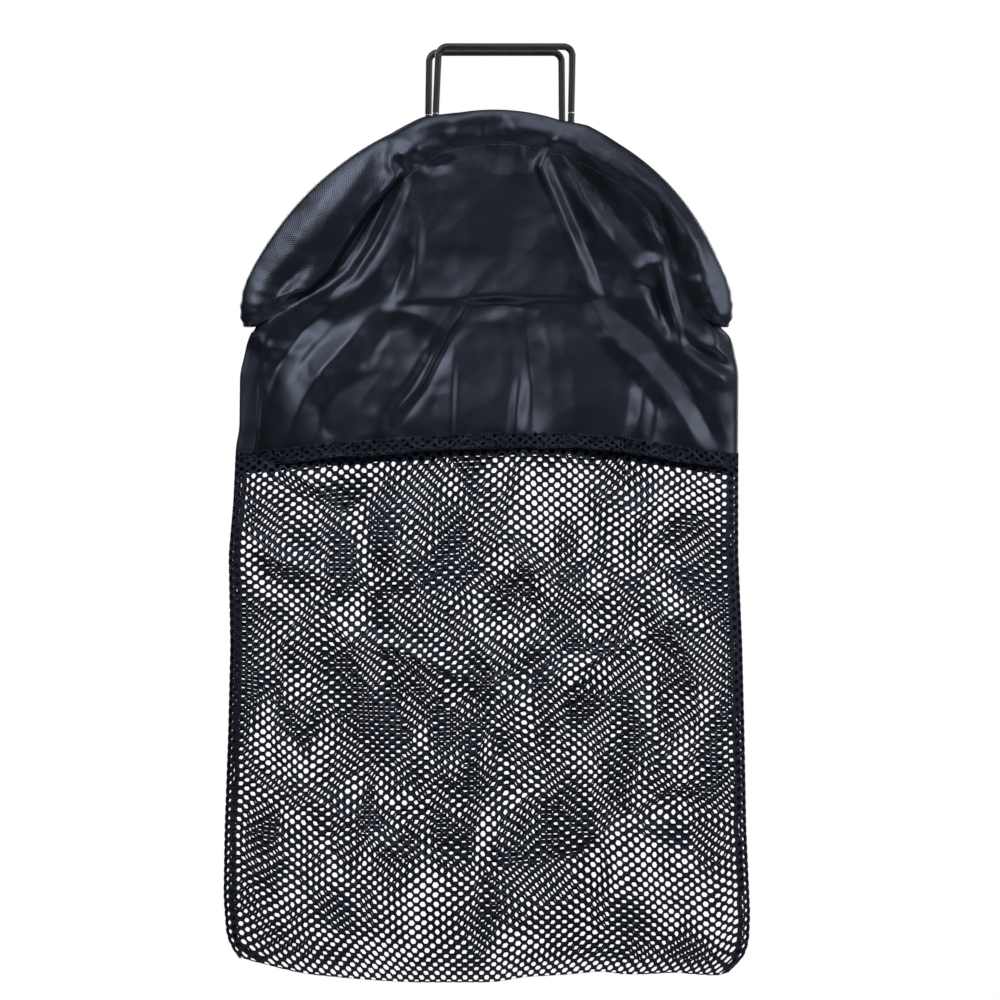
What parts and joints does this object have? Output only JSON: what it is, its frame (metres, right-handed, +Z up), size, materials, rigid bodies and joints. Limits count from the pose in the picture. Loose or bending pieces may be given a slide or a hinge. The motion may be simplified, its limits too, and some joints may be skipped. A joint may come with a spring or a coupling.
{
  "type": "mesh catch bag",
  "caption": "Hanging catch bag for crabs and shellfish: netting below a nylon mouth, held open or shut by a hinged two-part wire frame with a grip on each half.",
  "frame": {"origin": "underside of the rear grip's bar, above the middle of the bag, where the bag hangs from a hook or a hand", "axes": "+X to the right seen from the front, +Y from front to back, +Z up"},
  "size_m": [0.4598, 0.0352, 0.8247],
  "materials": {
    "rod_metal": "drawn stainless rod",
    "vinyl_tube": "soft extruded tubing, satin",
    "nylon": "coated plain-weave nylon, slightly shiny",
    "netting": "knitted polyester net",
    "binding_tape": "grosgrain tape",
    "thread": "bonded thread",
    "rivet_metal": "plain stainless"
  },
  "bodies": {
    "rear_frame": {"rear_frame_rod": "rod_metal", "rear_grip_tube": "vinyl_tube", "rear_left_arm_tube": "vinyl_tube", "rear_right_arm_tube": "vinyl_tube", "rear_sleeve": "nylon", "rear_hood": "nylon", "rear_sleeve_thread": "thread", "left_hinge_rivet": "rivet_metal", "right_hinge_rivet": "rivet_metal", "left_hinge_washer": "rivet_metal", "right_hinge_washer": "rivet_metal"},
    "bag": {"front_collar": "nylon", "front_hem_band": "netting", "front_hem_thread": "thread", "front_net": "netting", "rear_collar": "nylon", "rear_hem_band": "netting", "rear_hem_thread": "thread", "rear_net": "netting", "left_side_tape": "binding_tape", "left_collar_seam": "nylon", "left_bar_tack": "thread", "right_side_tape": "binding_tape", "right_collar_seam": "nylon", "right_bar_tack": "thread"},
    "front_frame": {"front_frame_rod": "rod_metal", "front_grip_tube": "vinyl_tube", "front_left_arm_tube": "vinyl_tube", "front_right_arm_tube": "vinyl_tube", "front_sleeve": "nylon", "front_hood": "nylon", "front_sleeve_thread": "thread"}
  },
  "joints": [
    {"name": "rear_hinge", "type": "hinge", "parent": "rear_frame", "child": "bag", "pos_m": [0, -0.008, -0.234], "axis": [1, 0, 0], "range_deg": [0, 90]},
    {"name": "front_hinge", "type": "hinge", "parent": "bag", "child": "front_frame", "pos_m": [0, -0.008, -0.234], "axis": [1, 0, 0], "range_deg": [0, 90]}
  ]
}
